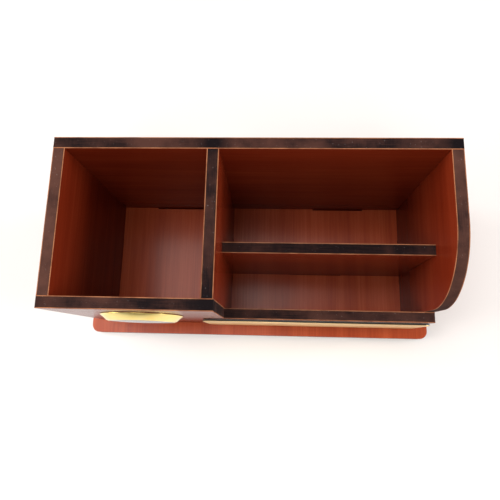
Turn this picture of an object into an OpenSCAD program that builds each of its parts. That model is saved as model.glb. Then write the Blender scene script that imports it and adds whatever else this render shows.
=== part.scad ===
// Desk pen stand with a push-in quartz clock, cut from 6 mm laminated board.
// Millimetres. Origin: centre of the underside of the base plate. +X right, +Y back, +Z up.
// Heights named "above the floor" start at the top of the base plate.

/* [Board] */
// Thickness of every board
board_t = 6; // [5:0.5:7]
// Outer width of the body
body_w = 200; // [190:1:220]
// Outer depth of the body
body_d = 85; // [80:1:95]
// Height of the walls above the floor
wall_h = 100; // [95:1:120]
// Height of the low part of the front, above the floor
low_front_h = 47; // [46:1:60]
// Inside width of the pen well
pen_well_w = 70.7; // [66:0.1:78]
// Inside depth of the front compartment on the right
front_bay_d = 27; // [20:0.5:32]
// Height of the low divider above the floor
low_divider_h = 71.5; // [60:0.5:85]
// Radius of the right side's curved top corner
side_curve_r = 38; // [20:1:45]

/* [Base plate] */
// Width of the base plate
base_w = 221; // [212:1:240]
// Depth of the base plate
base_d = 100.5; // [96:0.5:120]
// Corner radius of the base plate
base_corner_r = 5; // [2:0.5:8]

/* [Tabs and slots] */
// Width of the bottom tabs on the front and the back
long_tab_w = 34; // [20:1:40]
// Distance between the centres of the two tabs on the front and the back
long_tab_pitch = 108; // [100:1:120]
// Width of the bottom tab on the sides and the cross divider
side_tab_w = 30; // [20:1:40]
// Height of the low divider's end tabs
end_tab_h = 24; // [15:1:35]
// Play between a tab and its slot, on each side
slot_play = 0.1; // [0.05:0.05:0.3]
// Extra play at the inner side of the back slots, where the slot shows
back_slot_gap = 0.6; // [0:0.1:1]
// How far a tab ends short of the far face of its board
tab_short = 0.2; // [0.1:0.1:0.5]

/* [Clock insert] */
// Height of the clock's centre above the floor
clock_h = 66.5; // [64:0.5:70]
// Radius of the bezel where it rests on the front board
bezel_r = 21.5; // [20.5:0.5:23]
// Radius of the bezel's front rim
bezel_front_r = 17.1; // [17:0.1:18]
// How far the bezel's rim stands out
bezel_t = 3.7; // [3.2:0.1:4.5]
// Height of the glass's dome above the rim
lens_dome = 0.5; // [0.2:0.1:1]
// Outer radius of the case behind the bezel
case_r = 18; // [17.5:0.5:18.5]
// Depth of the case behind the front face
case_t = 6.6; // [6.6:0.1:8]
// Thickness of the grip ring round the case
grip_t = 0.45; // [0.4:0.05:0.6]
// Radial play between the grip ring and the hole in the board
grip_play = 0.05; // [0.03:0.01:0.1]
// Length of the minute hand
minute_len = 13; // [11:0.5:14]
// Length of the hour hand
hour_len = 9; // [7:0.5:10]
// Length of the second hand
second_len = 14; // [12:0.5:15]
// Running clearance between the nested arbors
arbor_play = 0.06; // [0.04:0.01:0.08]

/* [Name plate] */
// Width of the plate
plate_w = 129; // [100:1:130]
// Height of the plate
plate_h = 40; // [30:1:40]
// Thickness of the plate
plate_t = 1.2; // [1:0.1:2]
// Thickness of the adhesive tape behind the plate
tape_t = 0.3; // [0.2:0.1:0.5]
// Corner radius of the plate
plate_corner_r = 4; // [1:0.5:6]
// Gap between the plate's right edge and the right end of the front
plate_side_gap = 1.2; // [1:0.2:6]
// Height of the plate's lower edge above the floor
plate_foot = 4.5; // [2:0.5:5]

/* [Hidden] */

$fn = 96;
eps = 1;

// Places of the boards
x_left = -body_w / 2;
x_right = body_w / 2;
y_front = -body_d / 2;
y_back = body_d / 2;
floor_z = board_t;
rim_z = floor_z + wall_h;
y_front_in = y_front + board_t;
y_back_in = y_back - board_t;
inner_d = y_back_in - y_front_in;
cross_x = x_left + board_t + pen_well_w;
bay_x = cross_x + board_t;
bay_w = x_right - board_t - bay_x;
low_y = y_front_in + front_bay_d;

// Tabs of the low divider, half way up
end_tab_z = floor_z + (low_divider_h - end_tab_h) / 2;
end_tab_len = board_t - tab_short;

// Places of the clock and the plate
clock_x = (x_left + bay_x) / 2;
clock_z = floor_z + clock_h;
hole_r = case_r + grip_t + grip_play;
plate_x = x_right - plate_side_gap - plate_w;
plate_z = floor_z + plate_foot;
tape_inset = 1.5;

// Depths in the clock, counted outward from the front face of the board
seat_gap = 0.1;
web_t = 0.6;
web_hole_r = 5;
case_wall = 1.1;
case_in_r = case_r - case_wall;
dial_t = 0.4;
dial_r = 17.3;
dial_play = 0.1;
lens_t = 1;
lens_play = 0.02;
dome_steps = 12;
edge_t = 0.4;
edge_break = 0.2;
rim_land = 0.5;
shoulder_r = 15.9;
cover_t = 0.8;
cover_step = 0.3;
cover_play = 0.05;
thumb_notch_r = 1.5;
movement_t = case_t - web_t - cover_t;
cell_r = 5.8;
cell_t = 3.1;
cell_x = -8.2;
cell_play = 0.1;
cell_cap_t = 0.4;
cell_cap_r = 5;
grip_l = 3.2;
grip_z = -5;
movement_w = 32;
movement_h = 27;
movement_gap = 0.6;
movement_r = case_in_r - movement_gap;
knob_r = 4.5;
knob_t = 1.1;
knob_gap = 0.15;
knob_shaft_l = 2.1;
knob_notches = 18;
notch_r = 0.4;

// Arbors, from the middle outward
second_r = 0.35;
arbor_wall = 0.4;
minute_in_r = second_r + arbor_play;
minute_out_r = minute_in_r + arbor_wall;
hour_in_r = minute_out_r + arbor_play;
hour_out_r = hour_in_r + arbor_wall;
movement_bore_r = hour_out_r + arbor_play;
dial_hole_gap = 0.3;
dial_hole_r = movement_bore_r + dial_hole_gap;

// Hands: widths at the root and the tip, length behind the axis, radius of the boss
hand_t = 0.25;
hour_root_w = 1.6;
hour_tip_w = 0.8;
hour_tail = 2;
hour_boss_r = 2.1;
minute_root_w = 1.3;
minute_tip_w = 0.6;
minute_tail = 2.5;
minute_boss_r = 1.7;
second_root_w = 0.5;
second_tip_w = 0.3;
second_tail = 4.5;
second_boss_r = 1.2;
hour_z = 0.75;
minute_z = 1.25;
second_z = 1.75;
arbor_back = -2.4;

// Where the hands point at rest, clockwise from twelve, from the minutes since twelve
rest_minutes = 609.5;
hour_angle = rest_minutes / 2;
minute_angle = (rest_minutes * 6) % 360;
second_angle = (rest_minutes * 360) % 360;

wood = [0.45, 0.16, 0.09];
gold = [0.92, 0.75, 0.35];
dark = [0.12, 0.1, 0.1];

// A flat board in the XZ plane, its front face at y, from the shape that its children draw
module upright(y, t = board_t) {
  translate([0, y + t, 0])
    rotate([90, 0, 0])
      linear_extrude(t)
        children();
}

// A flat board in the YZ plane, its left face at x, from the shape that its children draw
module crosswise(x) {
  translate([x, 0, 0])
    rotate([90, 0, 90])
      linear_extrude(board_t)
        children();
}

// The clock's own frame: x to the right, y up, z outward from the front face
module at_clock() {
  translate([clock_x, y_front, clock_z])
    rotate([90, 0, 0])
      children();
}

// A rectangle with round corners, its lower left corner at the origin
module round_rect(w, h, r) {
  union() {
    translate([r, 0])
      square([w - 2 * r, h]);
    translate([0, r])
      square([w, h - 2 * r]);
    for (x = [r, w - r], y = [r, h - r])
      translate([x, y])
        circle(r);
  }
}

// One bottom tab, centred at u, reaching down into the base plate
module bottom_tab(u, w) {
  translate([u - w / 2, tab_short])
    square([w, floor_z - tab_short + eps]);
}

// The two bottom tabs of the front or the back
module long_tabs() {
  for (side = [-1, 1])
    bottom_tab(side * long_tab_pitch / 2, long_tab_w);
}

// A slot through the base plate for a tab that fills the box given by its corner and size
module base_slot(corner, size, gap_front = 0) {
  translate([corner[0] - slot_play, corner[1] - slot_play - gap_front, -eps])
    cube([size[0] + 2 * slot_play, size[1] + 2 * slot_play + gap_front, board_t + 2 * eps]);
}

// A slot through an upright side or divider for one end tab of the low divider
module end_slot(x) {
  translate([x - eps, low_y - slot_play, end_tab_z - slot_play])
    cube([board_t + 2 * eps, board_t + 2 * slot_play, end_tab_h + 2 * slot_play]);
}

module base_plate() {
  color(wood)
    difference() {
      translate([-base_w / 2, -base_d / 2, 0])
        linear_extrude(board_t)
          round_rect(base_w, base_d, base_corner_r);
      for (side = [-1, 1]) {
        base_slot([side * long_tab_pitch / 2 - long_tab_w / 2, y_front], [long_tab_w, board_t]);
        base_slot([side * long_tab_pitch / 2 - long_tab_w / 2, y_back_in], [long_tab_w, board_t],
          back_slot_gap);
      }
      for (x = [x_left, cross_x, x_right - board_t])
        base_slot([x, -side_tab_w / 2], [board_t, side_tab_w]);
      base_slot([bay_x + (bay_w - long_tab_w) / 2, low_y], [long_tab_w, board_t]);
    }
}

module back_panel() {
  color(wood)
    upright(y_back_in)
      union() {
        translate([x_left, floor_z])
          square([body_w, wall_h]);
        long_tabs();
      }
}

// The front is one board: full height over the pen well, and low to the right of the divider
module front_panel() {
  color(wood)
    difference() {
      upright(y_front)
        union() {
          translate([x_left, floor_z])
            square([bay_x - x_left, wall_h]);
          translate([x_left, floor_z])
            square([body_w, low_front_h]);
          long_tabs();
        }
      at_clock()
        translate([0, 0, -board_t - eps])
          cylinder(h = board_t + 2 * eps, r = hole_r);
    }
}

module left_side_panel() {
  color(wood)
    crosswise(x_left)
      union() {
        translate([y_front_in, floor_z])
          square([inner_d, wall_h]);
        bottom_tab(0, side_tab_w);
      }
}

// The right side drops to the front in a quarter circle
module right_side_panel() {
  color(wood)
    difference() {
      crosswise(x_right - board_t)
        union() {
          translate([y_front_in + side_curve_r, floor_z])
            square([inner_d - side_curve_r, wall_h]);
          translate([y_front_in, floor_z])
            square([inner_d, wall_h - side_curve_r]);
          intersection() {
            translate([y_front_in + side_curve_r, rim_z - side_curve_r])
              circle(side_curve_r, $fn = 180);
            translate([y_front_in, rim_z - side_curve_r - eps])
              square([side_curve_r + eps, side_curve_r + eps]);
          }
          bottom_tab(0, side_tab_w);
        }
      end_slot(x_right - board_t);
    }
}

module cross_divider() {
  color(wood)
    difference() {
      crosswise(cross_x)
        union() {
          translate([y_front_in, floor_z])
            square([inner_d, wall_h]);
          bottom_tab(0, side_tab_w);
        }
      end_slot(cross_x);
    }
}

module low_divider() {
  color(wood)
    upright(low_y)
      union() {
        translate([bay_x, floor_z])
          square([bay_w, low_divider_h]);
        translate([bay_x - end_tab_len, end_tab_z])
          square([bay_w + 2 * end_tab_len, end_tab_h]);
        bottom_tab(bay_x + bay_w / 2, long_tab_w);
      }
}

module name_plate_tape() {
  color("white")
    upright(y_front - tape_t, tape_t)
      translate([plate_x + tape_inset, plate_z + tape_inset])
        round_rect(plate_w - 2 * tape_inset, plate_h - 2 * tape_inset, plate_corner_r - tape_inset / 2);
}

module name_plate() {
  color(gold)
    upright(y_front - tape_t - plate_t, plate_t)
      translate([plate_x, plate_z])
        round_rect(plate_w, plate_h, plate_corner_r);
}

// Cup, open to the back, whose front web carries the dial and the movement
module clock_case() {
  color(dark)
    at_clock()
      rotate_extrude()
        polygon([
          [web_hole_r, -web_t],
          [case_in_r, -web_t],
          [case_in_r, -case_t + cover_t],
          [case_in_r + cover_step, -case_t + cover_t],
          [case_in_r + cover_step, -case_t],
          [case_r - edge_break, -case_t],
          [case_r, -case_t + edge_break],
          [case_r, seat_gap],
          [web_hole_r, seat_gap]
        ]);
}

module clock_grip_ring() {
  color("white")
    at_clock()
      translate([0, 0, grip_z])
        difference() {
          cylinder(h = grip_l, r = case_r + grip_t);
          translate([0, 0, -eps])
            cylinder(h = grip_l + 2 * eps, r = case_r);
        }
}

module clock_bezel() {
  rim_r = bezel_front_r - rim_land;
  color(gold)
    at_clock()
      rotate_extrude()
        polygon([
          [dial_r + dial_play, seat_gap],
          [bezel_r - edge_break, seat_gap],
          [bezel_r, seat_gap + edge_break],
          [bezel_r, seat_gap + edge_t],
          [bezel_front_r + edge_break / 2, bezel_t - edge_break],
          [bezel_front_r - edge_break / 2, bezel_t],
          [rim_r, bezel_t],
          [rim_r, bezel_t - lens_t],
          [shoulder_r, bezel_t - lens_t],
          [shoulder_r, seat_gap + dial_t],
          [dial_r + dial_play, seat_gap + dial_t]
        ]);
}

// Glass with a flat back and a slightly domed front
module clock_lens() {
  lens_r = bezel_front_r - rim_land - lens_play;
  dome_r = (lens_r ^ 2 + lens_dome ^ 2) / (2 * lens_dome);
  dome_angle = asin(lens_r / dome_r);
  color([0.8, 0.9, 0.95, 0.4])
    at_clock()
      rotate_extrude()
        polygon(concat(
          [[0, bezel_t - lens_t], [lens_r, bezel_t - lens_t]],
          [for (i = [dome_steps : -1 : 0])
            let (a = dome_angle * i / dome_steps)
              [dome_r * sin(a), bezel_t + lens_dome - dome_r * (1 - cos(a))]]
        ));
}

module clock_dial() {
  color("ivory")
    at_clock()
      translate([0, 0, seat_gap])
        difference() {
          cylinder(h = dial_t, r = dial_r);
          translate([0, 0, -eps])
            cylinder(h = dial_t + 2 * eps, r = dial_hole_r);
        }
}

// Sealed quartz movement with a pocket for the cell, open to the back
module clock_movement() {
  color("silver")
    at_clock()
      translate([0, 0, -web_t - movement_t])
        difference() {
          intersection() {
            cylinder(h = movement_t, r = movement_r);
            translate([-movement_w / 2, -movement_h / 2, 0])
              cube([movement_w, movement_h, movement_t]);
          }
          translate([0, 0, -eps])
            cylinder(h = movement_t + 2 * eps, r = movement_bore_r);
          translate([cell_x, 0, -eps])
            cylinder(h = cell_t + eps, r = cell_r + cell_play);
        }
}

module clock_battery() {
  color("lightgray")
    at_clock()
      translate([cell_x, 0, -web_t - movement_t])
        union() {
          cylinder(h = cell_t - cell_cap_t, r = cell_r);
          translate([0, 0, cell_t - cell_cap_t])
            cylinder(h = cell_cap_t, r = cell_cap_r);
        }
}

module clock_back_cover() {
  color(dark)
    at_clock()
      translate([0, 0, -case_t])
        difference() {
          cylinder(h = cover_t, r = case_in_r + cover_step - cover_play);
          translate([0, 0, -eps])
            cylinder(h = cover_t + 2 * eps, r = movement_bore_r);
          translate([0, case_in_r, -eps])
            cylinder(h = cover_t + 2 * eps, r = thumb_notch_r);
        }
}

// A tapered hand that points up, with an arbor round the axis of the dial
module hand(length, root_w, tip_w, tail, z, boss_r, arbor_r, bore_r) {
  difference() {
    union() {
      translate([0, 0, z])
        linear_extrude(hand_t)
          union() {
            polygon([
              [-root_w / 2, -tail],
              [root_w / 2, -tail],
              [tip_w / 2, length],
              [-tip_w / 2, length]
            ]);
            circle(boss_r);
          }
      translate([0, 0, arbor_back])
        cylinder(h = z + hand_t - arbor_back, r = arbor_r);
    }
    if (bore_r > 0)
      translate([0, 0, arbor_back - eps])
        cylinder(h = z + hand_t - arbor_back + 2 * eps, r = bore_r);
  }
}

module hour_hand() {
  color(dark)
    at_clock()
      rotate([0, 0, -hour_angle])
        hand(hour_len, hour_root_w, hour_tip_w, hour_tail, hour_z, hour_boss_r,
          hour_out_r, hour_in_r);
}

module minute_hand() {
  color(dark)
    at_clock()
      rotate([0, 0, -minute_angle])
        hand(minute_len, minute_root_w, minute_tip_w, minute_tail, minute_z, minute_boss_r,
          minute_out_r, minute_in_r);
}

module second_hand() {
  color("red")
    at_clock()
      rotate([0, 0, -second_angle])
        hand(second_len, second_root_w, second_tip_w, second_tail, second_z, second_boss_r,
          second_r, 0);
}

// Knurled knob behind the cover, on the axis of the hands
module setting_knob() {
  color(dark)
    at_clock()
      translate([0, 0, -case_t - knob_gap - knob_t])
        difference() {
          union() {
            cylinder(h = knob_t, r = knob_r);
            cylinder(h = knob_t + knob_shaft_l, r = hour_out_r);
          }
          for (i = [0 : knob_notches - 1])
            rotate([0, 0, i * 360 / knob_notches])
              translate([knob_r + notch_r / 3, 0, -eps])
                cylinder(h = knob_t + 2 * eps, r = notch_r, $fn = 24);
        }
}

base_plate();
back_panel();
front_panel();
left_side_panel();
right_side_panel();
cross_divider();
low_divider();
name_plate_tape();
name_plate();
clock_case();
clock_grip_ring();
clock_bezel();
clock_lens();
clock_dial();
clock_movement();
clock_battery();
clock_back_cover();
hour_hand();
minute_hand();
second_hand();
setting_knob();
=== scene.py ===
"""Looks for the desk pen stand with its push-in clock.

Sizes are in millimetres, except those of the table and the lamps, which are in metres.
"""

import math

import bmesh
import bpy
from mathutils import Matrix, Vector
from mathutils.geometry import tessellate_polygon


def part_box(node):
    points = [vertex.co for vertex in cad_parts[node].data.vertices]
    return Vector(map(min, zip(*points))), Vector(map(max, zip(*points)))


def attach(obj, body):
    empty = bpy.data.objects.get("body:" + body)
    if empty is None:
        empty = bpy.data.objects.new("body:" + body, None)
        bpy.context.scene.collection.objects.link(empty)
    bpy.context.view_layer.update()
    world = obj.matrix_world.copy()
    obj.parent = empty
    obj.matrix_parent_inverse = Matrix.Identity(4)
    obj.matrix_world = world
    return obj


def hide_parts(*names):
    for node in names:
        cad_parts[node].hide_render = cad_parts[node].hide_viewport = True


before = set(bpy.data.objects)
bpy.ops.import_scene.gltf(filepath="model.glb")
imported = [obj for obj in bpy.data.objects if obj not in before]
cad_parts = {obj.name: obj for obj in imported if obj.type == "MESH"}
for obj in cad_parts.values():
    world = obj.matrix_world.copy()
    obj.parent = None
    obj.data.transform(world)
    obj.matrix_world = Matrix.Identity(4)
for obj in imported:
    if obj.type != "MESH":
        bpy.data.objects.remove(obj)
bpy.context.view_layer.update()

MM = 0.001
X, Y, Z = 0, 1, 2

# ---------------------------------------------------------------- camera

# Fitted to the photo's straight edges and corners. The turn is in radians.
CAMERA_AT = (9.0, -57.4, 314.9)
CAMERA_TURN = (0.20678, 0.04317, 0.02312)
CAMERA_CLIP = (0.01, 20)
SENSOR = 36.0
LENS = 33.19


def make_camera():
    data = bpy.data.cameras.new("camera")
    data.sensor_width = SENSOR
    data.lens = LENS
    data.clip_start, data.clip_end = CAMERA_CLIP
    camera = bpy.data.objects.new("camera", data)
    bpy.context.scene.collection.objects.link(camera)
    camera.location = [MM * v for v in CAMERA_AT]
    camera.rotation_euler = CAMERA_TURN
    bpy.context.scene.camera = camera


make_camera()


# ---------------------------------------------------------------- shader helpers

# The Mix node's sockets when it mixes colours.
MIX_FACTOR, MIX_A, MIX_B, MIX_RESULT = 0, 6, 7, 2


class Shader:
    """A material with a Principled shader, and short ways to add nodes to it."""

    def __init__(self, name, **sockets):
        self.material = bpy.data.materials.new(name)
        self.material.use_nodes = True
        self.tree = self.material.node_tree
        self.bsdf = self.tree.nodes["Principled BSDF"]
        for socket, value in sockets.items():
            self.bsdf.inputs[socket.replace("_", " ")].default_value = value

    def add(self, kind, settings=None, **inputs):
        node = self.tree.nodes.new(kind)
        for key, value in (settings or {}).items():
            setattr(node, key, value)
        for key, value in inputs.items():
            self.set(node.inputs[key.replace("_", " ")], value)
        return node

    def set(self, socket, value):
        if isinstance(value, bpy.types.NodeSocket):
            self.tree.links.new(value, socket)
        else:
            socket.default_value = value

    def place(self, scale, offset=(0, 0, 0)):
        """Object coordinates divided by scale, which is a size in millimetres along each axis."""
        coords = self.add("ShaderNodeTexCoord").outputs["Object"]
        mapping = self.add("ShaderNodeMapping", Vector=coords)
        mapping.inputs["Scale"].default_value = [1 / (MM * s) for s in scale]
        mapping.inputs["Location"].default_value = offset
        return mapping.outputs["Vector"]

    def noise(self, scale, offset=(0, 0, 0), detail=4.0, rough=0.55, warp=0.0):
        node = self.add(
            "ShaderNodeTexNoise",
            Vector=self.place(scale, offset),
            Scale=1.0,
            Detail=detail,
            Roughness=rough,
            Distortion=warp,
        )
        return node.outputs["Fac"]

    def ramp(self, factor, stops):
        """A colour or grey ramp from (position, value) stops."""
        node = self.add("ShaderNodeValToRGB", Fac=factor)
        elements = node.color_ramp.elements
        while len(elements) < len(stops):
            elements.new(0.5)
        for element, (position, value) in zip(elements, stops):
            element.position = position
            grey = isinstance(value, (int, float))
            element.color = (value, value, value, 1) if grey else (*value, 1)
        return node.outputs["Color"]

    def mix(self, factor, a, b):
        """Colour a where the factor is 0 and b where it is 1."""
        node = self.add("ShaderNodeMix", {"data_type": "RGBA"})
        self.set(node.inputs[MIX_FACTOR], factor)
        for index, value in ((MIX_A, a), (MIX_B, b)):
            self.set(node.inputs[index], (*value, 1) if isinstance(value, tuple) else value)
        return node.outputs[MIX_RESULT]

    def math(self, how, a, b):
        node = self.add("ShaderNodeMath", {"operation": how})
        self.set(node.inputs[0], a)
        self.set(node.inputs[1], b)
        return node.outputs[0]

    def bump(self, height, strength, depth):
        """Bump from a height, with its depth in millimetres."""
        node = self.add("ShaderNodeBump", Height=height, Strength=strength, Distance=depth * MM)
        self.set(self.bsdf.inputs["Normal"], node.outputs["Normal"])

    def near(self, point, radius):
        """1 at a point of the object, in millimetres, falling to 0 at the radius."""
        coords = self.add("ShaderNodeTexCoord").outputs["Object"]
        gap = self.add("ShaderNodeVectorMath", {"operation": "DISTANCE"})
        self.set(gap.inputs[0], coords)
        self.set(gap.inputs[1], [MM * c for c in point])
        share = self.math("DIVIDE", gap.outputs["Value"], radius * MM)
        return self.ramp(share, [(0.25, 1.0), (1.0, 0.0)])

    def colour(self, value):
        self.set(self.bsdf.inputs["Base Color"], value)

    def roughness(self, value):
        self.set(self.bsdf.inputs["Roughness"], value)


# ---------------------------------------------------------------- materials

# The film's three tones, and what they are multiplied by on the base plate and on the walls. The walls'
# multiplier is darkened as painted shade for the deep wells; the base plate's is lighter and redder.
LAMINATE_DARK = (0.18, 0.021, 0.006)
LAMINATE_MID = (0.26, 0.036, 0.010)
LAMINATE_LIGHT = (0.34, 0.058, 0.018)
BASE_TONE = (1.6, 1.9, 2.2)
WALL_SHADE_TONE = (0.68, 0.52, 0.52)
FILM_SPECULAR = 0.2

# Cut edges: matt, so that they stay dark in low side views.
CUT_SPECULAR = 0.05
SKIN_PALE = (0.42, 0.17, 0.08)
SKIN_TOAST = (0.17, 0.06, 0.03)
CHAR_BLACK = (0.009, 0.006, 0.007)
CHAR_BROWN = (0.056, 0.023, 0.018)
CHAR_OLIVE = (0.105, 0.045, 0.033)
DUST = (0.45, 0.40, 0.38)
# Radius in millimetres of the black spots on the cut edges at the joints.
JOINT_SPOT_R = 11

MOULD_GRAIN = 0.25


def along(axis, length, across):
    """A texture scale that is long along one axis and short across it."""
    scale = [across] * 3
    scale[axis] = length
    return scale


def toned(colour, tone):
    return tuple(c * t for c, t in zip(colour, tone))


def laminate(name, grain, seed, tone):
    """Red-brown mahogany film: broad bands, fine fibres and short dark pores along the grain."""
    dark, mid, light = (toned(c, tone) for c in (LAMINATE_DARK, LAMINATE_MID, LAMINATE_LIGHT))
    shade = Shader(name, IOR=1.5, Specular_IOR_Level=FILM_SPECULAR)
    offset = (seed * 3.7, seed * 5.3, seed * 7.9)
    bands = shade.noise(along(grain, 260, 11), offset, detail=3, warp=0.3)
    fibres = shade.noise(along(grain, 45, 0.9), offset, detail=5, rough=0.6)
    pores = shade.noise(along(grain, 5.0, 0.22), offset, detail=2)
    figure = shade.math("ADD", shade.math("MULTIPLY", bands, 0.6), shade.math("MULTIPLY", fibres, 0.4))
    film = shade.ramp(figure, [(0.30, dark), (0.5, mid), (0.70, light)])
    pore_mask = shade.ramp(pores, [(0.62, 0.0), (0.74, 0.35)])
    shade.colour(shade.mix(pore_mask, film, dark))
    shade.roughness(shade.ramp(fibres, [(0.3, 0.20), (0.7, 0.26)]))
    shade.bump(shade.math("SUBTRACT", fibres, shade.math("MULTIPLY", pore_mask, 0.6)), 0.2, 0.02)
    return shade.material


def skin_edge(name):
    """The cut edge of the laminate film: a pale peach line, toasted here and there by the laser."""
    shade = Shader(name, Roughness=0.8, IOR=1.5, Specular_IOR_Level=CUT_SPECULAR)
    toast = shade.noise((9, 9, 9), detail=4)
    grit = shade.noise((0.5, 0.5, 0.5), detail=2)
    colour = shade.ramp(toast, [(0.3, SKIN_TOAST), (0.6, SKIN_PALE)])
    shade.colour(shade.mix(shade.ramp(grit, [(0.55, 0.0), (0.75, 0.5)]), colour, CHAR_BROWN))
    shade.bump(grit, 0.3, 0.02)
    return shade.material


def charred_edge(name, thickness_axis, long_axis, toast, joint_spots):
    """Laser-cut fibreboard: black char with browner patches, fine cut lines and a little dust.

    Toast, from 0 to 1, is how far this board's edge is browned rather than blackened. The edge is darkened
    to black round the points given at the joints.
    """
    shade = Shader(name, IOR=1.45, Specular_IOR_Level=CUT_SPECULAR)
    patches = shade.noise((24, 24, 24), detail=5, rough=0.6)
    cuts = shade.noise(along(thickness_axis, 9, 0.28), detail=3)
    streaks = shade.noise(along(long_axis, 14, 0.5), detail=3)
    lines = shade.math("ADD", shade.math("MULTIPLY", cuts, 0.3), shade.math("MULTIPLY", streaks, 0.7))
    fine = shade.noise((0.35, 0.35, 0.35), detail=3)
    light = tuple(b + (o - b) * toast for b, o in zip(CHAR_BROWN, CHAR_OLIVE))
    colour = shade.ramp(patches, [(0.48 - 0.22 * toast, CHAR_BLACK), (0.72 - 0.16 * toast, light)])
    colour = shade.mix(shade.ramp(lines, [(0.42, 0.0), (0.70, 0.45)]), colour, light)
    # Black spots round the points given at the joints.
    for joint_spot in joint_spots:
        colour = shade.mix(shade.near(joint_spot, JOINT_SPOT_R), colour, CHAR_BLACK)
    dust = shade.noise((0.55, 0.55, 0.55), (31, 7, 3), detail=1)
    shade.colour(shade.mix(shade.ramp(dust, [(0.73, 0.0), (0.82, 0.5)]), colour, DUST))
    shade.roughness(shade.ramp(fine, [(0.3, 0.75), (0.7, 0.95)]))
    shade.bump(shade.math("ADD", lines, fine), 0.7, 0.09)
    return shade.material


def polished_gold(name):
    shade = Shader(name, Metallic=1.0, IOR=1.5)
    haze = shade.noise((6, 6, 6), detail=5)
    scuffs = shade.noise((0.15, 3.0, 0.15), detail=3)
    shade.colour(shade.ramp(haze, [(0.3, (0.90, 0.68, 0.22)), (0.7, (0.97, 0.80, 0.33))]))
    shade.roughness(shade.ramp(haze, [(0.3, 0.13), (0.7, 0.24)]))
    shade.bump(scuffs, 0.06, 0.01)
    return shade.material


def brushed_gold(name):
    """The plate's face: gold film brushed along its length."""
    shade = Shader(name, Metallic=0.75, IOR=1.5)
    brush = shade.noise(along(X, 60, 0.16), detail=4)
    shade.colour(shade.ramp(brush, [(0.3, (0.74, 0.48, 0.19)), (0.7, (0.84, 0.58, 0.25))]))
    shade.roughness(shade.ramp(brush, [(0.3, 0.28), (0.7, 0.42)]))
    shade.bump(brush, 0.12, 0.01)
    return shade.material


def moulded(name, colour, rough):
    """Plastic with a fine moulded texture and faint tone changes."""
    shade = Shader(name, IOR=1.46)
    tone = shade.noise((8, 8, 8), detail=3)
    texture = shade.noise((MOULD_GRAIN,) * 3, detail=2)
    darker = tuple(c * 0.8 for c in colour)
    lighter = tuple(min(1.0, c * 1.15) for c in colour)
    shade.colour(shade.ramp(tone, [(0.3, darker), (0.7, lighter)]))
    shade.roughness(shade.ramp(texture, [(0.3, rough - 0.08), (0.7, rough + 0.08)]))
    shade.bump(texture, 0.2, 0.03)
    return shade.material


def steel(name):
    shade = Shader(name, Metallic=1.0, IOR=1.5)
    brush = shade.noise((0.2, 0.2, 4), detail=3)
    shade.colour(shade.ramp(brush, [(0.3, (0.62, 0.62, 0.63)), (0.7, (0.78, 0.78, 0.79))]))
    shade.roughness(shade.ramp(brush, [(0.3, 0.2), (0.7, 0.35)]))
    return shade.material


def lacquer(name, colour):
    """Smooth paint on the hands."""
    shade = Shader(name, IOR=1.5)
    tone = shade.noise((3, 3, 3), detail=2)
    shade.colour(shade.ramp(tone, [(0.3, colour), (0.7, tuple(min(1.0, c * 1.3) for c in colour))]))
    shade.roughness(shade.ramp(tone, [(0.3, 0.22), (0.7, 0.3)]))
    return shade.material


def clear_glass(name):
    shade = Shader(name, Roughness=0.02, IOR=1.5, Transmission_Weight=1.0)
    tint = shade.noise((12, 12, 12), detail=1)
    shade.colour(shade.ramp(tint, [(0.3, (0.97, 0.99, 0.98)), (0.7, (1.0, 1.0, 1.0))]))
    return shade.material


def printed_dial(name):
    """Cream lacquered card with a faint fibre."""
    shade = Shader(name, IOR=1.5)
    fibre = shade.noise((0.4, 0.4, 0.4), detail=4)
    cloud = shade.noise((9, 9, 9), detail=3)
    shade.colour(shade.ramp(cloud, [(0.3, (0.82, 0.78, 0.67)), (0.7, (0.90, 0.87, 0.78))]))
    shade.roughness(shade.ramp(fibre, [(0.3, 0.38), (0.7, 0.5)]))
    shade.bump(fibre, 0.1, 0.01)
    return shade.material


# ---------------------------------------------------------------- mesh helpers

# Degrees. The boards' is below the first step of an edge's rounding, so that their faces shade flat.
SMOOTH = 30
BOARD_SMOOTH = 12

# Points nearer than TOUCH are one point. An outline goes straight on where the sine of its turn is under
# STRAIGHT.
TOUCH = 0.001
STRAIGHT = 0.001

LATHE_STEPS = 128
ARC_STEPS = 6


def link_mesh(mesh, name, materials, smooth_angle=SMOOTH):
    """Finishes a bmesh as an object with its materials, smooth where its faces meet gently."""
    bmesh.ops.recalc_face_normals(mesh, faces=mesh.faces)
    data = bpy.data.meshes.new(name)
    mesh.to_mesh(data)
    mesh.free()
    for polygon in data.polygons:
        polygon.use_smooth = True
    data.set_sharp_from_angle(angle=math.radians(smooth_angle))
    for material in materials:
        data.materials.append(material)
    piece = bpy.data.objects.new(name, data)
    bpy.context.scene.collection.objects.link(piece)
    return piece


def hand_in(piece, body, slot, *nodes):
    """The piece rides on its body and stands for its CAD nodes. The slot is not used."""
    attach(piece, body)
    if nodes:
        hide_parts(*nodes)
    return piece


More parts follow.
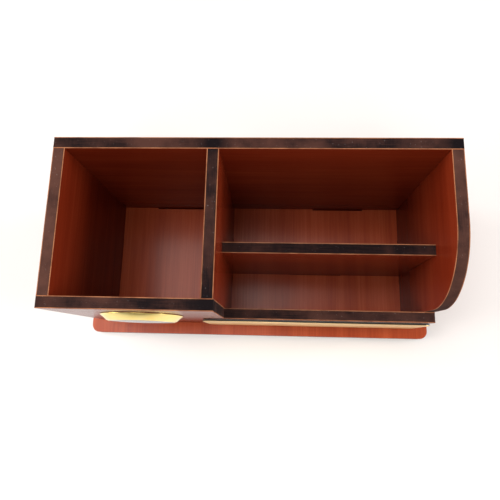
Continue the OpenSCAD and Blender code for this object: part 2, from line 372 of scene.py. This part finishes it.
def outlines(node, axis):
    """The closed outlines of a CAD board's face at the low end of its thickness, in the other two axes.

    The outer one runs anticlockwise and comes first, and holes run clockwise.
    """
    u, v = (axis + 1) % 3, (axis + 2) % 3
    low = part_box(node)[0][axis]
    mesh = bmesh.new()
    mesh.from_mesh(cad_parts[node].data)
    bmesh.ops.remove_doubles(mesh, verts=mesh.verts, dist=TOUCH * MM)
    steps = set()
    for face in mesh.faces:
        if all(abs(vert.co[axis] - low) < TOUCH * MM for vert in face.verts):
            for loop in face.loops:
                steps.add((loop.vert.index, loop.link_loop_next.vert.index))
    follows = {a: b for a, b in steps if (b, a) not in steps}
    places = {vert.index: Vector((vert.co[u], vert.co[v])) / MM for vert in mesh.verts}
    mesh.free()
    found = []
    while follows:
        start, after = follows.popitem()
        ring = [places[start]]
        while after != start:
            ring.append(places[after])
            after = follows.pop(after)
        found.append(without_straight_points(ring))
    found.sort(key=lambda ring: -abs(area(ring)))
    return [turned(ring, anticlockwise=(i == 0)) for i, ring in enumerate(found)]


def area(ring):
    """The area inside an outline, negative if it runs clockwise."""
    pairs = zip(ring, ring[1:] + ring[:1])
    return sum(a.x * b.y - b.x * a.y for a, b in pairs) / 2


def turned(ring, anticlockwise):
    return ring if (area(ring) > 0) == anticlockwise else ring[::-1]


def without_straight_points(ring):
    """Leaves out the points where the outline goes straight on."""
    kept = []
    for before, here, after in zip(ring[-1:] + ring[:-1], ring, ring[1:] + ring[:1]):
        one, two = (here - before).normalized(), (after - here).normalized()
        if abs(one.x * two.y - one.y * two.x) > STRAIGHT:
            kept.append(here)
    return kept


def inset(ring, distance):
    """The outline moved towards the material, which lies on its left."""
    moved = []
    for before, here, after in zip(ring[-1:] + ring[:-1], ring, ring[1:] + ring[:1]):
        one, two = (here - before).normalized(), (after - here).normalized()
        left_one, left_two = Vector((-one.y, one.x)), Vector((-two.y, two.x))
        moved.append(here + (left_one + left_two) * distance / (1 + left_one.dot(left_two)))
    return moved


def layered(name, rings, axis, low, layers, materials):
    """A board built up through its thickness, with material 0 on both faces.

    Each layer is (height above the low face, inset of the outline, material of the band that ends there).
    """
    mesh = bmesh.new()
    u, v = (axis + 1) % 3, (axis + 2) % 3

    def vert(point, height):
        place = [0, 0, 0]
        place[axis], place[u], place[v] = low + height, point.x, point.y
        return mesh.verts.new([MM * c for c in place])

    stacks = []
    for height, distance, material in layers:
        stacks.append([[vert(p, height) for p in inset(ring, distance)] for ring in rings])
    for lower, upper, layer in zip(stacks, stacks[1:], layers[1:]):
        for ring_low, ring_high in zip(lower, upper):
            count = len(ring_low)
            for i in range(count):
                j = (i + 1) % count
                face = mesh.faces.new((ring_low[i], ring_low[j], ring_high[j], ring_high[i]))
                face.material_index = layer[2]
    for stack, layer in ((stacks[0], layers[0]), (stacks[-1], layers[-1])):
        flat = [[Vector((p.x, p.y, 0)) for p in inset(ring, layer[1])] for ring in rings]
        corners = [corner for ring in stack for corner in ring]
        for a, b, c in tessellate_polygon(flat):
            mesh.faces.new((corners[a], corners[b], corners[c]))
    return link_mesh(mesh, name, materials, BOARD_SMOOTH)


def lathe(name, profile, material):
    """A solid of revolution about the clock's axis, from a closed outline of (radius, distance outward)."""
    mesh = bmesh.new()
    rings = []
    for radius, out in profile:
        count = 1 if radius == 0 else LATHE_STEPS
        ring = []
        for i in range(count):
            angle = 2 * math.pi * i / LATHE_STEPS
            place = (CLOCK[0] + radius * math.cos(angle), FACE_Y - out, CLOCK[1] + radius * math.sin(angle))
            ring.append(mesh.verts.new([MM * c for c in place]))
        rings.append(ring)
    for one, two in zip(rings, rings[1:] + rings[:1]):
        if len(one) == 1 and len(two) == 1:
            continue
        for i in range(LATHE_STEPS):
            j = (i + 1) % LATHE_STEPS
            corners = [one[i % len(one)], one[j % len(one)], two[j % len(two)], two[i % len(two)]]
            mesh.faces.new(list(dict.fromkeys(corners)))
    return link_mesh(mesh, name, [material])


def arc(centre, radius, start, end):
    """Points along an arc, from start to end in degrees."""
    angles = [math.radians(start + (end - start) * i / ARC_STEPS) for i in range(ARC_STEPS + 1)]
    return [(centre[0] + radius * math.cos(a), centre[1] + radius * math.sin(a)) for a in angles]


# ---------------------------------------------------------------- boards

SKIN = 0.45
CORE_INSET = 0.04

# An edge's rounding, and its middle step as parts of it: height, then inset.
EDGE_ROUND = 0.12
ROUND_HEIGHT, ROUND_INSET = 0.4, 0.3


def middle(node, axis):
    low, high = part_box(node)
    return (low[axis] + high[axis]) / 2 / MM


# Points on the rim at the joints, round which the charred edges are darkened to black.
SPOT_FROM_END = 2
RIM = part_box("back_panel")[1].z / MM
RIGHT_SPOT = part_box("back_panel")[1].x / MM - SPOT_FROM_END
BACK_MID = middle("back_panel", Y)
FRONT_MID = middle("front_panel", Y)
DIVIDER_MID = middle("cross_divider", X)
JOINT_SPOTS = {
    "back_panel": [(DIVIDER_MID, BACK_MID, RIM), (RIGHT_SPOT, BACK_MID, RIM)],
    "front_panel": [(DIVIDER_MID, FRONT_MID, RIM)],
    "cross_divider": [(DIVIDER_MID, BACK_MID, RIM), (DIVIDER_MID, FRONT_MID, RIM)],
}

BOARDS = [
    # node, thickness axis, grain axis, seed, toast of its cut edges
    ("base_plate", Z, Y, 1, 0.3),
    ("back_panel", Y, X, 2, 0.4),
    ("front_panel", Y, X, 3, 0.4),
    ("left_side_panel", X, Y, 4, 0.9),
    ("right_side_panel", X, Y, 5, 0.8),
    ("cross_divider", X, Y, 6, 0.25),
    ("low_divider", Y, X, 7, 0.0),
]

pale_edge = skin_edge("laminate_edge")


def board_layers(thickness):
    """Film, pale film edge, charred core, pale film edge, film."""
    step, step_inset = EDGE_ROUND * ROUND_HEIGHT, EDGE_ROUND * ROUND_INSET
    return [
        (0, EDGE_ROUND, 0),
        (step, step_inset, 0),
        (EDGE_ROUND, 0, 1),
        (SKIN, 0, 1),
        (SKIN, CORE_INSET, 2),
        (thickness - SKIN, CORE_INSET, 2),
        (thickness - SKIN, 0, 2),
        (thickness - EDGE_ROUND, 0, 1),
        (thickness - step, step_inset, 1),
        (thickness, EDGE_ROUND, 0),
    ]


def make_board(node, axis, grain, seed, toast):
    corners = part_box(node)
    low, high = (corner[axis] / MM for corner in corners)
    # The walls' film is darkened as painted shade; the base plate's is lighter and redder.
    film = laminate("laminate_" + node, grain, seed, BASE_TONE if node == "base_plate" else WALL_SHADE_TONE)
    long_axis = max((a for a in (X, Y) if a != axis), key=lambda a: corners[1][a] - corners[0][a])
    core = charred_edge("charred_" + node, axis, long_axis, toast, JOINT_SPOTS.get(node, []))
    materials = [film, pale_edge, core]
    piece = layered(node + "_board", outlines(node, axis), axis, low, board_layers(high - low), materials)
    hand_in(piece, "box", "board", node)


for board in BOARDS:
    make_board(*board)


# ---------------------------------------------------------------- name plate

PLATE_FILM = 0.25
PLATE_ROUND = 0.08


def make_plate():
    low, high = (corner[Y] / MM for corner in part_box("name_plate"))
    thickness = high - low
    layers = [
        (0, PLATE_ROUND, 0),
        (PLATE_ROUND, 0, 0),
        (PLATE_FILM, 0, 0),
        (thickness - PLATE_ROUND, 0, 1),
        (thickness, PLATE_ROUND, 1),
    ]
    materials = [brushed_gold("plate_face"), moulded("plate_core", (0.018, 0.012, 0.010), 0.4)]
    piece = layered("name_plate_face", outlines("name_plate", Y), Y, low, layers, materials)
    hand_in(piece, "box", "plate", "name_plate")


make_plate()


# ---------------------------------------------------------------- clock

# The clock's axis across and up, and the board's face that it is pushed into.
CLOCK = (middle("clock_bezel", X), middle("clock_bezel", Z))
FACE_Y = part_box("front_panel")[0].y / MM


def outward(node):
    """How far a clock node's back and front lie in front of the board's face."""
    low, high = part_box(node)
    return FACE_Y - high.y / MM, FACE_Y - low.y / MM


def radius_of(node):
    low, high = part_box(node)
    return (high.x - low.x) / 2 / MM


# The bezel's section. Pairs are (inward from its outside, up from its foot or down from its front).
SEAT_WIDTH = 0.7
GLASS_GAP = 0.02
RIM_WIDTH = 0.5
FOOT_R, RIM_R = 0.2, 0.25
FOOT_ARC, RIM_ARC = (0.2, 0.25), (0.2, 0.25)
FOOT_IN = 0.15
SHOULDER, SLOPE_TOP = (1.6, 1.5), (3.2, 0.55)


def make_bezel():
    back, front = outward("clock_bezel")
    outer = radius_of("clock_bezel")
    glass = radius_of("clock_lens")
    dial = radius_of("clock_dial")
    seat = outward("clock_lens")[0]
    dial_front = outward("clock_dial")[1]
    rim = glass + RIM_WIDTH
    profile = [(dial, back), (outer - FOOT_IN, back)]
    profile += arc((outer - FOOT_ARC[0], back + FOOT_ARC[1]), FOOT_R, -60, 40)
    profile += [(outer - SHOULDER[0], back + SHOULDER[1]), (outer - SLOPE_TOP[0], front - SLOPE_TOP[1])]
    profile += arc((rim - RIM_ARC[0], front - RIM_ARC[1]), RIM_R, 35, 90)
    profile += [(glass + GLASS_GAP, front), (glass + GLASS_GAP, seat)]
    profile += [(glass - SEAT_WIDTH, seat), (glass - SEAT_WIDTH, dial_front), (dial, dial_front)]
    piece = lathe("bezel_ring", profile, polished_gold("gold_plating"))
    hand_in(piece, "clock", "bezel", "clock_bezel")


LENS_STEPS = 16


def make_lens():
    """Flat behind and domed in front, from the bezel's rim to the glass's own front."""
    back, front = outward("clock_lens")
    edge = outward("clock_bezel")[1]
    radius = radius_of("clock_lens")
    dome = front - edge
    ball = (radius * radius + dome * dome) / (2 * dome)
    profile = [(0, back), (radius, back)]
    for i in range(LENS_STEPS + 1):
        r = radius * (LENS_STEPS - i) / LENS_STEPS
        profile.append((r, front - ball + math.sqrt(ball * ball - r * r)))
    piece = lathe("glass", profile, clear_glass("mineral_glass"))
    hand_in(piece, "clock", "lens", "clock_lens")


GRIP_RIBS = 5
RIB_DEPTH = 0.12

# Where a rib's top starts and ends, as shares of the pitch.
RIB_TOP = (0.3, 0.7)


def make_grip():
    """Rubber band with shallow ribs round it, as wide as the CAD ring at their tops."""
    back, front = outward("clock_grip_ring")
    outer = radius_of("clock_grip_ring")
    inner = radius_of("clock_case")
    profile = [(inner, front), (inner, back)]
    pitch = (front - back) / GRIP_RIBS
    for i in range(GRIP_RIBS):
        start = back + i * pitch
        profile.append((outer - RIB_DEPTH, start))
        profile += [(outer, start + share * pitch) for share in RIB_TOP]
    profile.append((outer - RIB_DEPTH, front))
    piece = lathe("grip_ribbed", profile, moulded("grip_rubber", (0.55, 0.54, 0.50), 0.65))
    hand_in(piece, "clock", "grip", "clock_grip_ring")


PRINT_T = 0.02
TICK_OUT = 15.3

# Inner radius and width of a mark, by whether it is an hour's.
TICK_IN = {True: 13.9, False: 14.6}
TICK_W = {True: 0.38, False: 0.14}

# The font's size is its ratio times the height of a number.
NUMERAL_R = 11.6
NUMERAL_H = 2.7
FONT_RATIO = 1.35


def bar(mesh, angle, inner, outer, width, back, front):
    """One printed bar of the dial, pointing outward at an angle clockwise from twelve."""
    way = Vector((math.sin(angle), math.cos(angle)))
    side = Vector((way.y, -way.x)) * width / 2
    corners = [way * inner - side, way * inner + side, way * outer + side, way * outer - side]
    rows = []
    for out in (back, front):
        rows.append([
            mesh.verts.new([MM * c for c in (CLOCK[0] + p.x, FACE_Y - out, CLOCK[1] + p.y)]) for p in corners
        ])
    for row in rows:
        mesh.faces.new(row)
    for i in range(4):
        j = (i + 1) % 4
        mesh.faces.new((rows[0][i], rows[0][j], rows[1][j], rows[1][i]))


def make_dial_print():
    """Minute marks and the hour numbers, in dark ink."""
    face = outward("clock_dial")[1]
    ink = lacquer("dial_ink", (0.014, 0.013, 0.013))
    mesh = bmesh.new()
    for minute in range(60):
        hour = minute % 5 == 0
        bar(mesh, math.radians(6 * minute), TICK_IN[hour], TICK_OUT, TICK_W[hour], face, face + PRINT_T)
    hand_in(link_mesh(mesh, "dial_marks", [ink]), "clock", "dial")
    for hour in range(1, 13):
        angle = math.radians(30 * hour)
        text = bpy.data.curves.new("number", "FONT")
        text.body = str(hour)
        text.align_x = "CENTER"
        text.align_y = "CENTER"
        text.size = NUMERAL_H * FONT_RATIO * MM
        text.extrude = PRINT_T / 2 * MM
        shape = bpy.data.objects.new("number", text)
        bpy.context.scene.collection.objects.link(shape)
        bpy.context.view_layer.update()
        data = bpy.data.meshes.new_from_object(shape)
        bpy.data.objects.remove(shape)
        data.name = "dial_number_%d" % hour
        centre = (CLOCK[0] + NUMERAL_R * math.sin(angle), CLOCK[1] + NUMERAL_R * math.cos(angle))
        for vert in data.vertices:
            x, y, z = vert.co
            vert.co = (centre[0] * MM + x, (FACE_Y - face - PRINT_T / 2) * MM - z, centre[1] * MM + y)
        data.materials.clear()
        data.materials.append(ink)
        number = bpy.data.objects.new("dial_number_%d" % hour, data)
        bpy.context.scene.collection.objects.link(number)
        hand_in(number, "clock", "dial")


make_bezel()
make_lens()
make_grip()
make_dial_print()

NODE_MATERIALS = {
    "name_plate_tape": moulded("tape", (0.78, 0.77, 0.72), 0.7),
    "clock_case": moulded("case_plastic", (0.022, 0.021, 0.021), 0.45),
    "clock_back_cover": moulded("cover_plastic", (0.026, 0.025, 0.025), 0.5),
    "setting_knob": moulded("knob_plastic", (0.03, 0.029, 0.028), 0.4),
    "clock_movement": moulded("movement_plastic", (0.30, 0.31, 0.33), 0.45),
    "clock_battery": steel("cell_steel"),
    "clock_dial": printed_dial("dial_card"),
    "hour_hand": lacquer("hour_black", (0.012, 0.012, 0.013)),
    "minute_hand": lacquer("minute_black", (0.012, 0.012, 0.013)),
    "second_hand": lacquer("second_red", (0.45, 0.02, 0.015)),
}
for node, material in NODE_MATERIALS.items():
    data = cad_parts[node].data
    data.materials.clear()
    data.materials.append(material)


# ---------------------------------------------------------------- floor and light


FLOOR_HALF = 2.5
WORLD_COLOUR = (1.0, 0.985, 0.97, 1)
WORLD_STRENGTH = 0.37
LAMP_COLOUR = (1.0, 0.98, 0.96)
LAMP_TARGET = (0, 0, 0)
LAMPS = [
    # name, place, size, power in watts
    ("ceiling_wide", (-0.25, 0.25, 1.5), (0.9, 0.8), 9),
    ("window_left", (-0.62, 0, 1.5), (0.3, 0.3), 1.5),
    ("softbox_left", (-1.5, 0, 0.6), (1.0, 0.8), 21),
    ("softbox_right", (1.5, 0, 0.6), (1.0, 0.8), 20),
    ("softbox_front", (0, -0.9, 1.3), (0.8, 0.6), 4.5),
]


def make_floor():
    mesh = bmesh.new()
    corners = [(-1, -1), (1, -1), (1, 1), (-1, 1)]
    mesh.faces.new([mesh.verts.new((FLOOR_HALF * x, FLOOR_HALF * y, 0)) for x, y in corners])
    shade = Shader("table", IOR=1.45)
    cloud = shade.noise((400, 400, 400), detail=2)
    shade.colour(shade.ramp(cloud, [(0.3, (0.84, 0.80, 0.78)), (0.7, (0.88, 0.85, 0.83))]))
    shade.roughness(shade.ramp(cloud, [(0.3, 0.2), (0.7, 0.26)]))
    floor = link_mesh(mesh, "floor", [shade.material])


def make_light(name, place, size, power):
    data = bpy.data.lights.new(name, "AREA")
    data.shape = "RECTANGLE"
    data.size, data.size_y = size
    data.energy = power
    data.color = LAMP_COLOUR
    light = bpy.data.objects.new(name, data)
    bpy.context.scene.collection.objects.link(light)
    light.location = place
    light.rotation_euler = (Vector(LAMP_TARGET) - Vector(place)).to_track_quat("-Z", "Y").to_euler()


def make_world():
    world = bpy.data.worlds.new("soft_room")
    world.use_nodes = True
    background = world.node_tree.nodes["Background"]
    background.inputs["Color"].default_value = WORLD_COLOUR
    background.inputs["Strength"].default_value = WORLD_STRENGTH
    bpy.context.scene.world = world


make_floor()
make_world()
for lamp in LAMPS:
    make_light(*lamp)
bpy.context.scene.view_settings.view_transform = "Standard"
